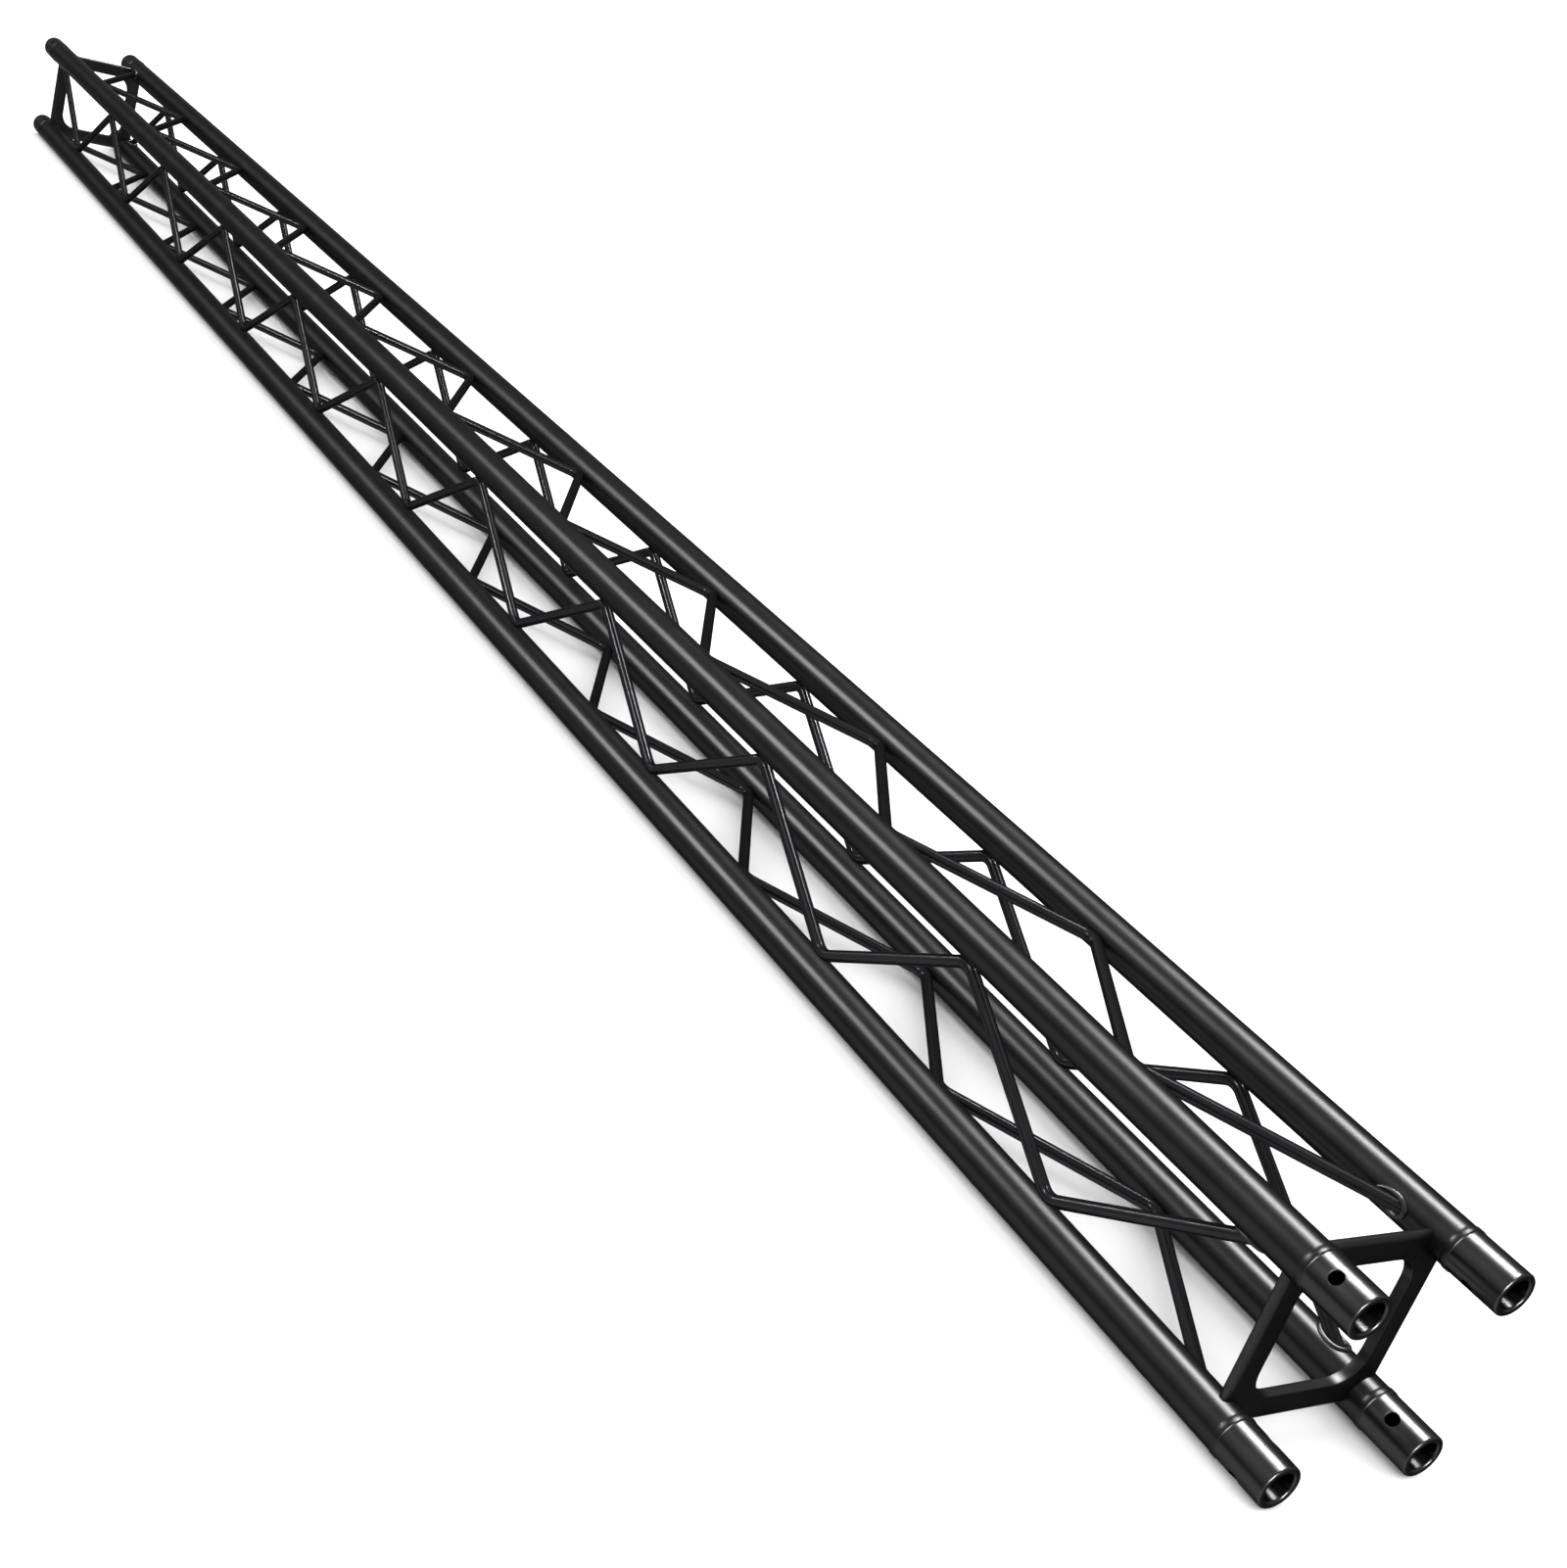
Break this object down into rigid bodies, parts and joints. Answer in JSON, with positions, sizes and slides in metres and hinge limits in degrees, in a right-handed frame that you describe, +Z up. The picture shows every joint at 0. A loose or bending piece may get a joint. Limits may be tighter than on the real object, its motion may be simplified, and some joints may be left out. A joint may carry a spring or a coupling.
{
  "type": "lighting truss section",
  "caption": "Square lighting truss section: round chord tubes, zigzag lacing rods on every side, square end frames, and end sleeves with tapered sockets and cross pin holes, in black.",
  "frame": {"origin": "centre of the section's length and width, on the floor it lies on", "axes": "+X along the section towards its front end, +Y to the right seen from that end, +Z up"},
  "size_m": [2, 0.1006, 0.1007],
  "materials": {
    "black_coat": "satin",
    "sleeve_coat": "gloss",
    "frame_coat": "satin",
    "rod_coat": "satin"
  },
  "bodies": {
    "root": {"chord_top_left": "black_coat", "chord_top_right": "black_coat", "chord_bottom_right": "black_coat", "chord_bottom_left": "black_coat", "sleeve_front_top_left": "sleeve_coat", "sleeve_front_top_right": "sleeve_coat", "sleeve_front_bottom_right": "sleeve_coat", "sleeve_front_bottom_left": "sleeve_coat", "sleeve_back_top_left": "sleeve_coat", "sleeve_back_top_right": "sleeve_coat", "sleeve_back_bottom_right": "sleeve_coat", "sleeve_back_bottom_left": "sleeve_coat", "end_frame_front": "frame_coat", "end_frame_back": "frame_coat", "lacing_top": "rod_coat", "lacing_left": "rod_coat", "lacing_bottom": "rod_coat", "lacing_right": "rod_coat"}
  },
  "joints": []
}
